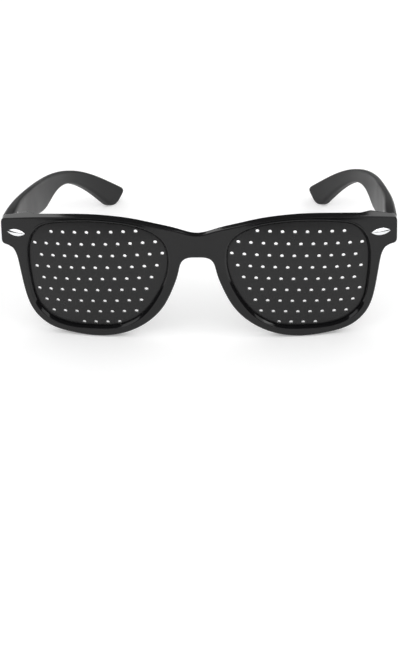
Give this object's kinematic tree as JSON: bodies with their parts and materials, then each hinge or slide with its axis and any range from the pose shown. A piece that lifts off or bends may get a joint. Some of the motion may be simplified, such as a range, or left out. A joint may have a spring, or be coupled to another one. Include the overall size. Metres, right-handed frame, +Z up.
{
  "type": "pinhole glasses",
  "caption": "Black plastic glasses with perforated plates instead of lenses, bright almond plaques and folding temples.",
  "frame": {"origin": "middle of the bounding box on the plane that the open glasses stand on", "axes": "+X to the wearer's left seen from the front as the right of the picture, -Y the way the wearer looks, +Z up; the glasses stand open on the lower rims and the temple tips"},
  "size_m": [0.1452, 0.1354, 0.0481],
  "materials": {
    "frame_plastic": "polished black",
    "plate_plastic": "fine grained black",
    "temple_plastic": "satin black",
    "hinge_metal": "nickel plated",
    "screw_metal": "turned",
    "plaque_metal": "polished"
  },
  "bodies": {
    "front": {"front_frame": "frame_plastic", "left_pinhole_lens": "plate_plastic", "right_pinhole_lens": "plate_plastic", "left_front_hinge_leaf": "hinge_metal", "right_front_hinge_leaf": "hinge_metal", "left_hinge_screw": "screw_metal", "right_hinge_screw": "screw_metal", "left_plaque": "plaque_metal", "right_plaque": "plaque_metal"},
    "right_arm": {"right_temple": "temple_plastic", "right_temple_hinge_leaf": "hinge_metal"},
    "left_arm": {"left_temple": "temple_plastic", "left_temple_hinge_leaf": "hinge_metal"}
  },
  "joints": [
    {"name": "right_fold", "type": "hinge", "parent": "front", "child": "right_arm", "pos_m": [0.0658, -0.05235, 0.03634], "axis": [0, 0.0343, 0.9994], "range_deg": [0, 80]},
    {"name": "left_fold", "type": "hinge", "parent": "front", "child": "left_arm", "pos_m": [-0.0658, -0.05235, 0.03634], "axis": [0, -0.0343, -0.9994], "range_deg": [0, 72]}
  ]
}
